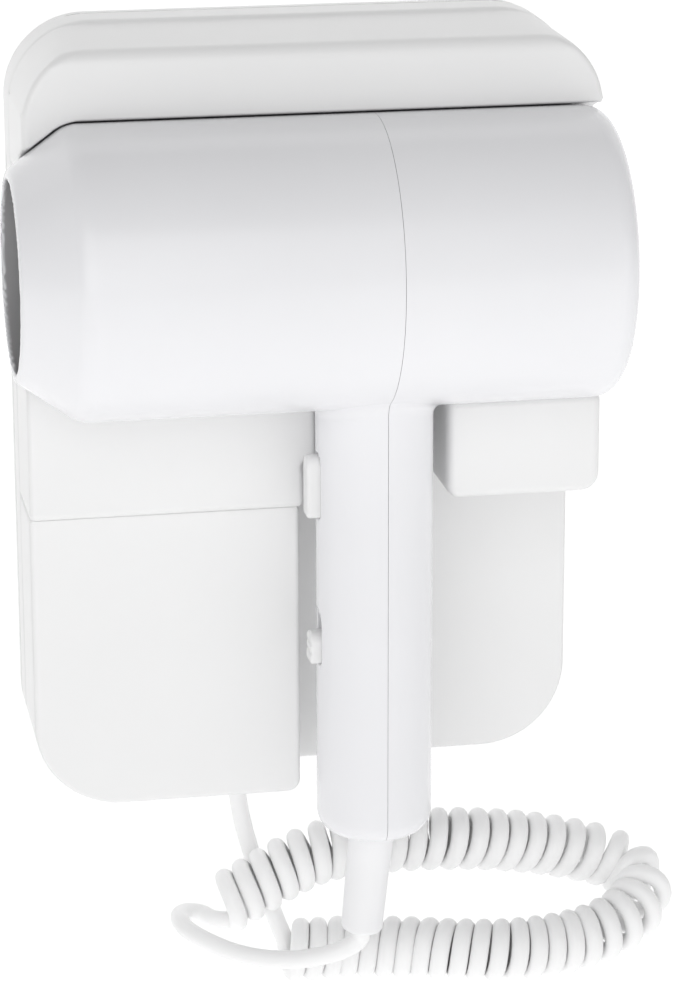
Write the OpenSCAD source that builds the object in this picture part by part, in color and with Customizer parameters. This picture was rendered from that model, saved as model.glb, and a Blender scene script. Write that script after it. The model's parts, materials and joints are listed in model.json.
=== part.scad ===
// Wall-mounted hair dryer: a wall holder, a handset that parks in it, and a curly cord between them.
// Frame: origin at the centre of the four wall screws on the back face, +Z up, +X to the right,
// and the front faces -Y. A depth is a distance in front of the wall, so depth d is y = -d.

/* [Holder] */
// Width of the holder
base_w = 155; // [154.5:0.5:156]
// Height of the holder
base_h = 214; // [213:0.5:215]
// Depth of the flat front panel
panel_d = 15.4; // [15:0.1:15.6]
// Depth of the switch box at the lower left
box_d = 40.8; // [40:0.1:42]
// Depth of the hood over the barrel
hood_d = 50; // [49:0.5:51]
// Depth of the right cradle block
cradle_d = 52.8; // [52:0.1:53.5]
// Wall thickness of the mouldings
wall = 2.4; // [2.2:0.1:2.6]

/* [Handset] */
// Outer radius of the barrel
barrel_r = 38.9; // [38.7:0.1:39]
// Depth of the barrel's axis
barrel_d = 55.5; // [55.4:0.1:56.5]
// Height of the barrel's axis
barrel_z = 47.7; // [47.5:0.1:48]
// Outer radius of the nozzle's mouth
nozzle_r = 27.5; // [27:0.5:28.5]
// Radius of the handle
handle_r = 15.8; // [15.7:0.1:16]
// Height of the handle's lower end
handle_z = -113; // [-114:0.5:-112]

/* [Cord] */
// Diameter of the cord
cord_dia = 5.2; // [5:0.1:5.3]
// Outer diameter of the curly stretch
coil_dia = 18.4; // [18:0.1:18.6]

/* [Mounts] */
// Spacing of the wall screws across
screw_dx = 110; // [108:1:112]
// Spacing of the wall screws up and down
screw_dz = 150; // [148:1:152]
// Diameter of the wall screw holes
screw_dia = 5; // [4.5:0.1:5.5]
// Diameter of the supply cable's entry
entry_dia = 12; // [11:0.5:12]

/* [Hidden] */
$fn = 96;
eps = 0.01;
white = [0.93, 0.93, 0.93];
grey_white = [0.85, 0.85, 0.86];
dark = [0.25, 0.25, 0.27];
steel = [0.75, 0.75, 0.78];
mica = [0.80, 0.72, 0.55];

// holder
hw = base_w / 2;
hh = base_h / 2;
plate_t = 3;
top_r = 22;
bottom_r = 24;
box_right = -4.4;
box_top = -23.5;
left_block_d = 43;
left_block_top = 18;
right_block_x = 34.6;
right_block_z = [-20.4, 11];
hood_z = 70;
hood_front_z = 104.8;
hood_fillet = 4;
clearance = 1.5;
cradle_gap = 0.5;
switch_x = 15;
plunger_r = 2;
plunger_fit = 0.05;
gland_at = [-17, 8];
gland_neck = cord_dia / 2 + 1.75;
entry_at = [40, -60];
cover_screw_x = [-48, 48];
cover_screw_d = 8.5;
wiring_hole_z = -32;
clamp_screw_x = [31, 49];
clamp_z = -47;
wire_r = 0.9;
nub_r = 4.6;
nub_at = [-5, -4.4];
neck_r = 6.2;
neck_at = [1, -13.4];
board_x = -42;
board_z = -62;

// handset
nozzle_x = -82;
shoulder_x = -66;
split_x = 15;
tail_x = 77.5;
tail_fillet = 6;
shell_t = 2.2;
handle_x = 14.2;
handle_corner = 6;
grip_top = 20;
grille_x = -74;
heater_x = [-68, -6];
motor_x = [6, 36];
motor_r = 14;
shaft_r = 1.2;
bearing_gap = 0.05;
fan_x = [40, 54];
fan_r = 33;
fan_hub_r = 9;
fan_blades = 7;
inlet_r = 29;
button_z = -13.4;
button_half = [3.2, 8.6];
button_corners = [3, 3, 1.4, 1.4];
button_proud = 3.1;
knob_z = -58.8;
knob_half = [3.4, 4.4];
knob_corners = [3.2, 3.2, 1, 1];
knob_throw = 5.6;
slot_gap = 0.4;
knob_proud = 2.4;
shell_screw_z = [-32, -98];
shell_screw_d = barrel_d - 8.6;
shell_screw_r = 1.2;
tip_z = -143.5;
relief_lean = 5.5;
relief_r = 5.9;
relief_x = handle_x - 0.6;
face_x = handle_x - handle_r;

// A 2D outline in X and Z, pushed from depth d0 to depth d1
module slab(d0, d1) {
    translate([0, -d0, 0]) rotate([90, 0, 0]) linear_extrude(d1 - d0) children();
}

// A 2D profile in depth and Z, pushed from x0 to x1
module bar(x0, x1) {
    translate([x0, 0, 0]) mirror([0, 1, 0]) rotate([90, 0, 90]) linear_extrude(x1 - x0) children();
}

// A box from low to high, with depth as its second axis
module block(low, high) {
    translate([low[0], -high[1], low[2]]) cube([high[0] - low[0], high[1] - low[1], high[2] - low[2]]);
}

// A rounded rectangle, with the corner radii top left, top right, bottom right, bottom left
module rounded(x0, x1, z0, z1, r) {
    polygon([[x0, z0 + r[3]], [x0 + r[3], z0], [x1 - r[2], z0], [x1, z0 + r[2]],
        [x1, z1 - r[1]], [x1 - r[1], z1], [x0 + r[0], z1], [x0, z1 - r[0]]]);
    corners = [[x0 + r[0], z1 - r[0]], [x1 - r[1], z1 - r[1]], [x1 - r[2], z0 + r[2]], [x0 + r[3], z0 + r[3]]];
    for (i = [0:3]) if (r[i] > 0) translate(corners[i]) circle(r[i]);
}

// A cylinder or cone along X, centred on the barrel's axis
module along_barrel(x0, x1, r0, r1) {
    translate([x0, -barrel_d, barrel_z]) rotate([0, 90, 0]) cylinder(h = x1 - x0, r1 = r0, r2 = r1);
}

// A cylinder along X at any depth and height
module rod_x(x0, x1, r, d, z) {
    translate([x0, -d, z]) rotate([0, 90, 0]) cylinder(h = x1 - x0, r = r);
}

// A cylinder along the depth axis
module rod_y(d0, d1, r, x, z) {
    translate([x, -d0, z]) rotate([90, 0, 0]) cylinder(h = d1 - d0, r = r);
}

// A cylinder along Z
module rod_z(z0, z1, r, x, d) {
    translate([x, -d, z0]) cylinder(h = z1 - z0, r = r);
}

// ---------- the handset's outer form, used by its shells and by what clears it ----------

// Barrel and nozzle, grown by g
module barrel_form(g) {
    slope = (barrel_r - nozzle_r) / (shoulder_x - nozzle_x);
    along_barrel(nozzle_x - 10, shoulder_x, nozzle_r - 10 * slope + g, barrel_r + g);
    along_barrel(shoulder_x - eps, tail_x + 10, barrel_r + g, barrel_r + g);
}

module base_outline(inset) {
    rounded(-hw + inset, hw - inset, -hh + inset, hh - inset,
        [top_r - inset, top_r - inset, bottom_r - inset, bottom_r - inset]);
}

// ---------- holder ----------

module back_plate() {
    color(white) difference() {
        union() {
            slab(0, plate_t) base_outline(0);
            for (x = cover_screw_x)
                block([x - 5, plate_t - eps, -hh + 4], [x + 5, panel_d - wall - 0.2, -hh + 14]);
        }
        for (x = [-1, 1], z = [-1, 1])
            rod_y(-1, plate_t + 1, screw_dia / 2, x * screw_dx / 2, z * screw_dz / 2);
        rod_y(-1, plate_t + 1, entry_dia / 2, entry_at[0], entry_at[1]);
        for (x = cover_screw_x) rod_z(-hh + 3, -hh + 13, 1.5, x, cover_screw_d);
    }
}

// The hood's outer form, inset by i on its outer sides
module hood_form(i) {
    intersection() {
        slab(plate_t, hood_d - i)
            rounded(-hw + i, hw - i, hood_z + i, hh - i, [top_r - i, top_r - i, 0, 0]);
        bar(-hw, hw) {
            front = hood_d - i;
            polygon([[plate_t - 1, hood_z], [plate_t - 1, hh - i], [hood_fillet + 1, hh - i],
                [front - hood_fillet, hood_front_z - i], [front, hood_front_z - i - hood_fillet],
                [front, hood_z]]);
            translate([front - hood_fillet, hood_front_z - i - hood_fillet]) circle(hood_fillet);
        }
    }
}

module front_cover() {
    color(white) difference() {
        union() {
            slab(plate_t, panel_d) base_outline(0);
            difference() {
                hood_form(0);
                barrel_form(clearance);
            }
        }
        slab(plate_t - 1, panel_d - wall) base_outline(wall);
        difference() {
            hood_form(wall);
            barrel_form(clearance + wall);
            block([-hw, 0, 0], [hw, panel_d - wall - eps, hood_z + wall]);
        }
        rod_y(panel_d - wall - 1, panel_d + 1, plunger_r + plunger_fit, switch_x, barrel_z);
        rod_y(panel_d - wall - 1, panel_d + 1, 4, board_x, wiring_hole_z);
        rod_z(-hh - 1, -hh + wall + 1, gland_neck + 0.05, gland_at[0], gland_at[1]);
        for (x = cover_screw_x) rod_z(-hh - 1, -hh + wall + 1, 1.8, x, cover_screw_d);
    }
}

module switch_box() {
    color(white) difference() {
        slab(panel_d, box_d) rounded(-hw, box_right, -hh, box_top, [0, 0, 3.5, bottom_r]);
        slab(panel_d - 1, box_d - wall)
            rounded(-hw + wall, box_right - wall, -hh + wall, box_top - wall, [0, 0, 1.1, bottom_r - wall]);
    }
}

// The padded block above the switch box. Its right edge has a nub beside the handle and a neck
// under it that leaves room for a finger at the handset's button.
module left_cradle() {
    color(white) difference() {
        intersection() {
            slab(panel_d, left_block_d) difference() {
                union() {
                    rounded(-hw, box_right, box_top, left_block_top, [3, 6, 2, 0]);
                    translate(nub_at) circle(nub_r);
                    polygon([[box_right - 6, -0.2], [box_right - 1, 1.8], [box_right + 1.5, -1.2], [box_right - 1, -8.7],
                        [box_right - 6, -8.7]]);
                }
                translate(neck_at) circle(neck_r);
            }
            bar(-hw, 5) rounded(panel_d, left_block_d, box_top, left_block_top, [0, 9, 2, 0]);
        }
        barrel_form(cradle_gap);
    }
}

module right_cradle() {
    color(white) difference() {
        intersection() {
            slab(panel_d, cradle_d)
                rounded(right_block_x, hw, right_block_z[0], right_block_z[1], [4, 6, 5, 4]);
            bar(right_block_x, hw)
                rounded(panel_d, cradle_d, right_block_z[0], right_block_z[1], [0, 6, 4, 0]);
            translate([0, 0, right_block_z[0]]) linear_extrude(right_block_z[1] - right_block_z[0])
                mirror([0, 1]) rounded(right_block_x, hw, panel_d, cradle_d, [3.5, 4, 0, 0]);
        }
        barrel_form(cradle_gap);
    }
}

module cover_screws() {
    color(steel) for (x = cover_screw_x) {
        rod_z(-hh + 0.6 - eps, -hh + 12, 1.5, x, cover_screw_d);
        rod_z(-hh - 1.4, -hh - eps, 3, x, cover_screw_d);
        rod_z(-hh - eps, -hh + 0.6, 1.7, x, cover_screw_d);
    }
}

// Two-way screw terminal for the supply cable
module terminal_block() {
    color(white) difference() {
        block([26, plate_t, -40], [50, 12, -28]);
        for (x = [32, 44]) {
            rod_z(-41, -27, 1.8, x, 6.5);
            rod_y(8, 13, 2, x, -34);
        }
    }
}

module supply_clamp() {
    color(grey_white) difference() {
        block([28, plate_t, -50], [52, 10, -44]);
        rod_z(-51, -43, 4, entry_at[0], plate_t + 2.4);
        for (x = clamp_screw_x) rod_y(2, 11, 1.3, x, clamp_z);
    }
}

module clamp_screws() {
    color(steel) for (x = clamp_screw_x) {
        rod_y(plate_t, 10, 1.3, x, clamp_z);
        rod_y(10, 11.6, 2.6, x, clamp_z);
    }
}

// Control board in the switch box, standing on four posts off the panel
module control_board() {
    color([0.2, 0.42, 0.25]) union() {
        block([board_x - 26, 21, board_z - 30], [board_x + 26, 22.6, board_z + 26]);
        for (i = [0:3]) rod_y(22.6 - eps, 30, 3, board_x - 18 + i * 9, board_z - 22);
        block([board_x - 20, 22.6 - eps, board_z + 14], [board_x - 6, 27, board_z + 20]);
    }
}

module relay() {
    color([0.15, 0.3, 0.6]) block([board_x - 2, 22.6, board_z - 12], [board_x + 20, 37.6, board_z + 4]);
}

module board_posts() {
    color(white) for (x = [-22, 22], z = [-26, 22])
        rod_y(panel_d, 21, 3, board_x + x, board_z + z);
}

// Switch behind the panel that the parked barrel holds down
module holder_switch() {
    color(dark) difference() {
        block([switch_x - 10, plate_t, barrel_z - 3.2], [switch_x + 10, 11.4, barrel_z + 3.2]);
        rod_y(plate_t + 1.6, 12, plunger_r + plunger_fit, switch_x, barrel_z);
    }
}

module switch_plunger() {
    color("firebrick") rod_y(7.4, 16.2, plunger_r, switch_x, barrel_z);
}

module plunger_spring() {
    color(steel) rod_y(4.7, 7.3, 1.4, switch_x, barrel_z);
}

module cord_gland() {
    color(grey_white) translate([gland_at[0], -gland_at[1], 0]) rotate_extrude() polygon([
        [cord_dia / 2, -hh - 10], [gland_neck - 0.55, -hh - 10], [gland_neck, -hh - 1.2],
        [gland_neck + 1.25, -hh - 1.2], [gland_neck + 1.25, -hh - 0.05], [gland_neck, -hh - 0.05],
        [gland_neck, -hh + wall + 0.05], [gland_neck + 0.4, -hh + wall + 0.05],
        [gland_neck + 0.4, -hh + wall + 1.4], [cord_dia / 2, -hh + wall + 1.4]]);
}

// Leads between the terminal block, the holder switch and the board's pass hole
module holder_wiring() {
    color([0.7, 0.2, 0.15]) {
        wire_xz([[26, -34], [0, -34], [0, 40], [6, 43.4]], wire_r, 7);
        wire_xz([[26, -37], [-20, -37], [-38, -33]], wire_r, 7);
    }
}

// A lead laid in straight runs at one depth, on points in X and Z
module wire_xz(points, r, d) {
    for (i = [0:len(points) - 2]) {
        a = points[i];
        b = points[i + 1];
        run = norm(b - a);
        translate([a[0], -d, a[1]]) rotate([0, atan2(b[0] - a[0], b[1] - a[1]), 0]) cylinder(h = run, r = r, $fn = 24);
        translate([b[0], -d, b[1]]) sphere(r, $fn = 24);
    }
}

// ---------- handset ----------

// The handle's outer form down to its rounded lower end, shrunk by s
module handle_form(s) {
    r = handle_r - s;
    c = handle_corner - s / 2;
    low = handle_z + s;
    translate([handle_x, -barrel_d, low]) rotate_extrude() {
        translate([r - c, c]) circle(c);
        square([r - c, c]);
        translate([0, c]) square([r, grip_top - low - c]);
    }
}

// The barrel's rounded tail, shrunk by s
module tail_form(s) {
    r = barrel_r - s;
    f = tail_fillet - s / 2;
    x1 = tail_x - s;
    translate([shoulder_x, -barrel_d, barrel_z]) rotate([0, 90, 0]) rotate_extrude() {
        square([r, x1 - shoulder_x - f]);
        square([r - f, x1 - shoulder_x]);
        translate([r - f, x1 - shoulder_x - f]) circle(f);
    }
}

module outer_form() {
    along_barrel(nozzle_x, shoulder_x, nozzle_r, barrel_r);
    tail_form(0);
    handle_form(0);
}

module inner_form() {
    along_barrel(nozzle_x - 1, shoulder_x, nozzle_r - shell_t, barrel_r - shell_t);
    tail_form(shell_t);
    handle_form(shell_t);
    along_barrel(tail_x - shell_t - 1, tail_x + 1, inlet_r, inlet_r);
}

// Bosses that take the screws that hold the two shells together
module screw_bosses(x0, x1, r) {
    for (z = shell_screw_z) rod_x(x0, x1, r, shell_screw_d, z);
}

module nozzle_shell() {
    color(white) difference() {
        union() {
            difference() {
                outer_form();
                inner_form();
            }
            screw_bosses(3.5, split_x, 3);
        }
        block([split_x, 0, -200], [200, 120, 200]);
        screw_bosses(6, split_x + 1, shell_screw_r);
        rod_z(handle_z - 1, handle_z + 4, relief_r + 0.5, relief_x, barrel_d);
        bar(-4, 4) button_outline(0.3);
        bar(-4, 4) rounded(barrel_d - knob_half[0] - slot_gap, barrel_d + knob_half[0] + slot_gap,
            knob_z - knob_half[1] - slot_gap, knob_z + knob_half[1] + knob_throw + slot_gap,
            [for (r = knob_corners) r + slot_gap]);
    }
}

module inlet_shell() {
    color(white) difference() {
        union() {
            difference() {
                outer_form();
                inner_form();
            }
            screw_bosses(split_x, 26, 3);
        }
        block([-200, 0, -200], [split_x, 120, 200]);
        screw_bosses(split_x - 1, 40, 1.6);
        screw_bosses(24, 40, 2.6);
        rod_z(handle_z - 1, handle_z + 4, relief_r + 0.5, relief_x, barrel_d);
    }
}

// Cross-barred guard inside the nozzle's mouth
module outlet_grille() {
    rim = nozzle_r - shell_t + (grille_x - nozzle_x) * (barrel_r - nozzle_r) / (shoulder_x - nozzle_x) - 0.6;
    color(dark) {
        difference() {
            along_barrel(grille_x, grille_x + 3, rim, rim + 2);
            along_barrel(grille_x - 1, grille_x + 4, rim - 2, rim - 2);
        }
        for (r = [8, 16, 23]) difference() {
            along_barrel(grille_x + 0.5, grille_x + 2.5, r + 0.8, r + 0.8);
            along_barrel(grille_x, grille_x + 3, r - 0.8, r - 0.8);
        }
        along_barrel(grille_x + 0.3, grille_x + 2.7, 3, 3);
        for (a = [0:45:315]) translate([grille_x + 0.4, -barrel_d, barrel_z]) rotate([a, 0, 0])
            translate([0, -0.7, 2]) cube([2.2, 1.4, rim - 3]);
    }
}

module heater_sleeve() {
    color(mica) difference() {
        along_barrel(heater_x[0], heater_x[1], 33, 33);
        along_barrel(heater_x[0] - 1, heater_x[1] + 1, 32, 32);
    }
}

// Two crossed mica cards that carry the heating wire
module mica_cards() {
    half = 31.9;
    color(mica) {
        block([heater_x[0], barrel_d - 0.5, barrel_z - half], [heater_x[1], barrel_d + 0.5, barrel_z + half]);
        block([heater_x[0], barrel_d - half, barrel_z - 0.5], [heater_x[1], barrel_d + half, barrel_z + 0.5]);
    }
}

module heater_coils() {
    color([0.6, 0.6, 0.62]) for (x = [heater_x[0] + 8:8:heater_x[1] - 8], r = [14, 24])
        translate([x, -barrel_d, barrel_z]) rotate([0, 90, 0]) rotate_extrude() translate([r, 0]) circle(0.9, $fn = 24);
}

module thermostat() {
    color(steel) block([heater_x[1] - 7, barrel_d + 0.6, barrel_z + 3], [heater_x[1] - 1, barrel_d + 6, barrel_z + 11]);
}

module thermal_fuse() {
    color([0.8, 0.8, 0.75]) rod_x(heater_x[1] - 7, heater_x[1] - 1, 1.8, barrel_d - 4, barrel_z + 6);
}

module motor_can() {
    color(steel) difference() {
        union() {
            along_barrel(motor_x[0], motor_x[1], motor_r, motor_r);
            along_barrel(motor_x[0] - 2, motor_x[0] + eps, 4, 4);
        }
        along_barrel(motor_x[0] + 1.5, motor_x[1] - 1.5, motor_r - 1.2, motor_r - 1.2);
        along_barrel(motor_x[0] - 3, motor_x[1] + 1, shaft_r + bearing_gap, shaft_r + bearing_gap);
    }
}

// Ring with curved vanes that holds the motor in the middle of the air stream
module motor_mount() {
    rim = barrel_r - shell_t - 0.1;
    color(dark) difference() {
        union() {
            difference() {
                along_barrel(motor_x[0] + 4, motor_x[0] + 22, rim, rim);
                along_barrel(motor_x[0] + 3, motor_x[0] + 23, rim - 1.6, rim - 1.6);
            }
            along_barrel(motor_x[0] + 4, motor_x[0] + 22, motor_r + 1.6, motor_r + 1.6);
            for (i = [0:7]) translate([motor_x[0] + 4, -barrel_d, barrel_z]) rotate([i * 45, 0, 0])
                translate([0, -0.7, motor_r + 1]) cube([18, 1.4, rim - motor_r - 1.8]);
        }
        along_barrel(motor_x[0] + 3, motor_x[0] + 23, motor_r, motor_r);
    }
}

module motor_brushes() {
    color([0.75, 0.5, 0.3]) for (s = [-1, 1])
        block([motor_x[0] + 2, barrel_d + s * 9 - 2, barrel_z - 2], [motor_x[0] + 7, barrel_d + s * 9 + 2, barrel_z + 2]);
}

// Shaft with the armature inside the can
module motor_shaft() {
    color([0.6, 0.35, 0.2]) {
        along_barrel(motor_x[0] - 1.5, fan_x[1] - 1, shaft_r, shaft_r);
        along_barrel(motor_x[0] + 9, motor_x[1] - 3, 11.5, 11.5);
        along_barrel(motor_x[0] + 2, motor_x[0] + 8, 4.5, 4.5);
    }
}

// Axial fan pressed on the shaft
module fan() {
    color([0.3, 0.3, 0.33]) difference() {
        union() {
            along_barrel(fan_x[0], fan_x[1], fan_hub_r, fan_hub_r);
            for (i = [0:fan_blades - 1]) translate([(fan_x[0] + fan_x[1]) / 2, -barrel_d, barrel_z])
                rotate([i * 360 / fan_blades, 0, 0]) rotate([0, 0, 35])
                    translate([-6.5, -0.8, fan_hub_r - 1]) cube([13, 1.6, fan_r - fan_hub_r]);
        }
        along_barrel(fan_x[0] - 1, fan_x[1] + 1, shaft_r, shaft_r);
    }
}

// Slotted guard in the tail of the barrel
module inlet_grille() {
    slot_w = 2.6;
    color(white) difference() {
        along_barrel(tail_x - 3.2, tail_x - 0.6, inlet_r - 0.1, inlet_r - 0.1);
        for (i = [-4:4]) {
            half = sqrt(pow(inlet_r - 4, 2) - pow(i * 5.4, 2));
            block([tail_x - 5, barrel_d - half, barrel_z + i * 5.4 - slot_w / 2],
                [tail_x + 1, barrel_d + half, barrel_z + i * 5.4 + slot_w / 2]);
        }
    }
}

module inlet_filter() {
    color([0.5, 0.5, 0.5]) along_barrel(tail_x - 4.2, tail_x - 3.3, inlet_r + 2, inlet_r + 2);
}

// The button's outline in depth and Z, grown by g
module button_outline(g) {
    rounded(barrel_d - button_half[0] - g, barrel_d + button_half[0] + g, button_z - button_half[1] - g,
        button_z + button_half[1] + g, [for (r = button_corners) r + g]);
}

// Button on the nozzle side of the handle, kept in by a flange inside the shell
module press_button() {
    color(white) {
        bar(face_x - button_proud, face_x + 4.6) button_outline(0);
        bar(face_x + 4.6 - eps, face_x + 5.8) button_outline(1);
    }
}

module button_spring() {
    color(steel) rod_x(face_x + 5.9, face_x + 9.1, 2, barrel_d, button_z);
}

module button_switch() {
    x0 = face_x + 9.2;
    color(dark) block([x0, barrel_d - 4.5, button_z - 8], [x0 + 5, barrel_d + 4.5, button_z + 8]);
}

// Thumb knob of the speed switch. It rests in its lowest place, off.
module slide_knob() {
    skirt = knob_half[1] + knob_throw + slot_gap + 1;
    color(white) {
        bar(face_x - knob_proud, face_x + 4.6) rounded(barrel_d - knob_half[0], barrel_d + knob_half[0],
            knob_z - knob_half[1], knob_z + knob_half[1], knob_corners);
        block([face_x + 4.6 - eps, barrel_d - 5.4, knob_z - skirt],
            [face_x + 5.4, barrel_d + 5.4, knob_z + skirt]);
    }
}

module slide_switch() {
    x0 = face_x + 5.7;
    color(steel) block([x0, barrel_d - 5, knob_z - 6], [x0 + 8.5, barrel_d + 5, knob_z + knob_throw + 6]);
}

// Board that carries both switches of the handle
module handle_board() {
    x0 = face_x + 14.4;
    color([0.2, 0.42, 0.25]) block([x0, barrel_d - 5, -78], [x0 + 1.2, barrel_d + 5, 0]);
}

module shell_screws() {
    color(steel) {
        screw_bosses(6.2, 24, shell_screw_r);
        screw_bosses(24, 25.8, 2.5);
    }
}

module cord_clamp() {
    color(dark) difference() {
        block([relief_x - 7, barrel_d - 4, -92], [relief_x + 7, barrel_d + 4, -86]);
        rod_z(-93, -85, 2.2, relief_x, barrel_d);
    }
}

module handset_wiring() {
    top = barrel_z - barrel_r + shell_t - 0.2;
    color([0.2, 0.2, 0.22]) {
        rod_z(-105, -85, 2, relief_x, barrel_d);
        for (d = [-3, 3]) rod_z(-85, top, wire_r, relief_x + 7, barrel_d + d);
    }
}

// Sleeve that keeps the cord from kinking at the handle
module strain_relief() {
    base = [relief_x, -barrel_d, handle_z];
    length = (handle_z - tip_z) / cos(relief_lean);
    color([0.95, 0.95, 0.96]) difference() {
        union() {
            translate(base) rotate([0, 180 + relief_lean, 0]) cylinder(h = length, r = relief_r);
            rod_z(handle_z - 1, handle_z + 3.9, relief_r + 0.4, relief_x, barrel_d);
            rod_z(handle_z + 2.4, handle_z + 7.5, relief_r + 2.2, relief_x, barrel_d);
        }
        translate(base) rotate([0, 180 + relief_lean, 0]) translate([0, 0, -1]) cylinder(h = length + 2, r = cord_dia / 2);
        rod_z(handle_z - 2, handle_z + 8, cord_dia / 2 + 0.4, relief_x, barrel_d);
    }
}

// ---------- cord ----------

// Routes are lists of [x, depth, z], from the holder to the handset
base_route = [[-17, 8, -117], [-16.5, 7.6, -121], [-15.5, 7, -127], [-13.9, 6.8, -134], [-12, 7.6, -141],
    [-9.9, 9.8, -148], [-7.6, 13, -154.5], [-5.2, 16.5, -162.8]];
coil_route = [[-5, 23, -163], [3, 23.6, -163], [11, 24, -163], [28, 27.5, -163], [43, 32, -163], [56, 34.6, -163],
    [68, 34.6, -162.8], [79, 33.4, -161.9], [88, 31.4, -160], [94.7, 28.4, -157.6], [99.2, 24, -155],
    [100.6, 18.6, -152.1], [98, 14, -149.1], [91.6, 11.6, -146], [82.6, 12, -143], [72, 13.2, -139.9],
    [60, 14.6, -137.2], [44.8, 16, -135], [27, 16, -134.4], [9, 17, -135.2], [-2, 18, -138.3],
    [-10, 19, -141.9], [-17, 19.8, -145.4], [-22.4, 20.4, -148]];
handset_route = [[-22.4, 20.4, -154.6], [-25, 15.8, -154.8], [-28.4, 12.2, -154.2], [-32.4, 12.8, -153.2],
    [-35, 17, -152], [-36, 22.4, -150.8], [-36.2, 28.4, -149.8], [-35, 33, -150], [-32, 37.2, -150.8],
    [-28, 40.6, -152], [-22.8, 44, -153.2], [-16, 47.6, -153.8], [-9, 50.8, -153.4], [-2.4, 53.4, -152],
    [3.6, 55, -150.2], [8, 55.5, -148.2], [10, 55.5, -146.6], [10.5, 55.5, -144.7]];

function to_xyz(route) = [for (p = route) [p[0], -p[1], p[2]]];
function unit(v) = v / norm(v);
function tangent(p, i) = unit(p[min(i + 1, len(p) - 1)] - p[max(i - 1, 0)]);
function across(v, t) = unit(v - (v * t) * t);

// Side vectors carried along the route with no twist
function sides(p) = [for (i = 0, s = across([0, -1, 0], tangent(p, 0)); i < len(p);
    i = i + 1, s = i < len(p) ? across(s, tangent(p, i)) : s) s];

// A tube of radius r swept along points p
module sweep(p, r, n) {
    side = sides(p);
    rings = [for (i = [0:len(p) - 1]) let (t = tangent(p, i), u = side[i], v = cross(t, u))
        for (k = [0:n - 1]) p[i] + r * cos(360 * k / n) * u + r * sin(360 * k / n) * v];
    last = (len(p) - 1) * n;
    walls = [for (i = [0:len(p) - 2], k = [0:n - 1]) let (a = i * n + k, b = i * n + (k + 1) % n)
        each [[a, a + n, b], [b, a + n, b + n]]];
    caps = [[for (k = [0:n - 1]) k], [for (k = [n - 1:-1:0]) last + k]];
    polyhedron(rings, concat(walls, caps), convexity = 6);
}

module base_lead() {
    color(grey_white) sweep(to_xyz(base_route), cord_dia / 2, 8);
}

module coil_cord() {
    color(grey_white) sweep(to_xyz(coil_route), coil_dia / 2, 12);
}

module handset_lead() {
    color(grey_white) sweep(to_xyz(handset_route), cord_dia / 2, 8);
}

back_plate();
front_cover();
switch_box();
left_cradle();
right_cradle();
cover_screws();
terminal_block();
supply_clamp();
clamp_screws();
control_board();
relay();
board_posts();
holder_switch();
switch_plunger();
plunger_spring();
cord_gland();
holder_wiring();
nozzle_shell();
inlet_shell();
outlet_grille();
heater_sleeve();
mica_cards();
heater_coils();
thermostat();
thermal_fuse();
motor_can();
motor_mount();
motor_brushes();
motor_shaft();
fan();
inlet_grille();
inlet_filter();
press_button();
button_spring();
button_switch();
slide_knob();
slide_switch();
handle_board();
shell_screws();
cord_clamp();
handset_wiring();
strain_relief();
base_lead();
coil_cord();
handset_lead();
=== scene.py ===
"""Looks of the wall-mounted hair dryer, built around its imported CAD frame."""

import json
import math

import bmesh
import bpy
import numpy as np
from mathutils import Matrix, Vector


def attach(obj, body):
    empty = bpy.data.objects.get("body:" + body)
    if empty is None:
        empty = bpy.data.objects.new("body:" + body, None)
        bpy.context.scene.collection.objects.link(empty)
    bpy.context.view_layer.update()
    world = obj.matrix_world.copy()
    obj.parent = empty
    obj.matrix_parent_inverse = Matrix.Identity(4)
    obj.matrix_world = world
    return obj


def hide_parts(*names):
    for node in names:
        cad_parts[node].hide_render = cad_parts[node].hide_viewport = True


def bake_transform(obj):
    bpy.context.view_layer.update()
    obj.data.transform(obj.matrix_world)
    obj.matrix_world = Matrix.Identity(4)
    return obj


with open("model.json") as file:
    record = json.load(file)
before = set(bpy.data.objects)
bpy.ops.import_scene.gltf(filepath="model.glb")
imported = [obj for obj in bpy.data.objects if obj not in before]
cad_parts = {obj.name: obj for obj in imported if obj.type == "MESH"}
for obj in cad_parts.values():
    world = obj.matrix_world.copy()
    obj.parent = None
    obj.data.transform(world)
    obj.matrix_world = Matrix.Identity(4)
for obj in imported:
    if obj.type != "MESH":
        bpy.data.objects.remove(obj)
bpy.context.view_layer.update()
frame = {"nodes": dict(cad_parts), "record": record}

MM = 0.001

# Driving sizes in millimetres. A depth is a distance in front of the wall. They repeat the CAD model's,
# apart from BOX_RIGHT, CLEARANCE, the nub, the notch and the edge radii, which are set more finely here.
BASE_W, BASE_H = 155.0, 214.0
PLATE_T = 3.0
PANEL_D, BOX_D, LEFT_D, RIGHT_D, HOOD_D = 15.4, 40.8, 43.0, 52.8, 50.0
TOP_R, BOTTOM_R = 22.0, 24.0
WALL = 2.4
# Edge radii of the holder's mouldings, and the gaps at its seams.
PANEL_EDGE, HOOD_EDGE, HOOD_CREST, LIP_EDGE, HOOD_FOOT = 1.1, 1.8, 4.0, 0.6, 1.0
BOX_EDGE, BOX_CORNER, INNER_EDGE, HOLE_EDGE, SQUARE = 1.0, 3.5, 0.5, 0.3, 0.3
LEFT_EDGE, LEFT_CROWN, LEFT_FOOT, CRADLE_EDGE = 1.3, 9.0, 2.0, 3.5
RIGHT_EDGE, RIGHT_CROWN, RIGHT_SIDE, RIGHT_INSET = 2.2, 6.0, 3.8, 0.6
PLATE_GAP, PANEL_GAP, BOX_GAP, PAST_SEAM = 0.25, 0.1, 0.03, 9.0
BOX_RIGHT, BOX_TOP, LEFT_TOP = -3.8, -23.5, 18.0
RIGHT_X, RIGHT_Z = 34.6, (-20.4, 11.0)
HOOD_Z, HOOD_FRONT_Z = 70.0, 104.8
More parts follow.
